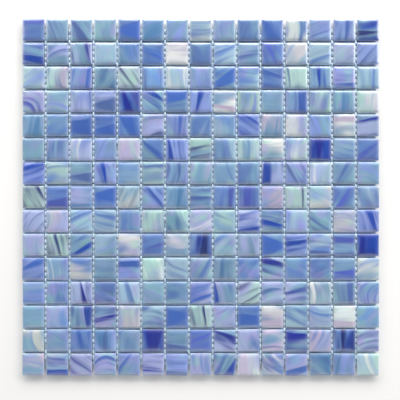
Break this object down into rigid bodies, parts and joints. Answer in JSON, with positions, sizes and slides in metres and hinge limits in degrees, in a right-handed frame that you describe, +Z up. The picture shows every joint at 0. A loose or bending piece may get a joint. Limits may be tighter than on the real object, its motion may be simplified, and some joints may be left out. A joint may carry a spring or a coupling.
{
  "type": "mosaic tile sheet",
  "caption": "Square sheet of glass mosaic: small square swirled iridescent glass chips in straight rows, held at even joints by a glass-fibre net on their backs.",
  "frame": {"origin": "under the centre of the sheet, on the surface that the net lies on", "axes": "+Z up out of the chips' faces, +Y towards the first row of chips, +X along the rows"},
  "size_m": [0.3276, 0.3277, 0.0045],
  "materials": {
    "swirled_glass": "gloss",
    "glass_fibre_yarn": "matte"
  },
  "bodies": {
    "root": {"tile_row_01": "swirled_glass", "tile_row_02": "swirled_glass", "tile_row_03": "swirled_glass", "tile_row_04": "swirled_glass", "tile_row_05": "swirled_glass", "tile_row_06": "swirled_glass", "tile_row_07": "swirled_glass", "tile_row_08": "swirled_glass", "tile_row_09": "swirled_glass", "tile_row_10": "swirled_glass", "tile_row_11": "swirled_glass", "tile_row_12": "swirled_glass", "tile_row_13": "swirled_glass", "tile_row_14": "swirled_glass", "tile_row_15": "swirled_glass", "mesh_warp_threads": "glass_fibre_yarn", "mesh_weft_threads": "glass_fibre_yarn"}
  },
  "joints": []
}
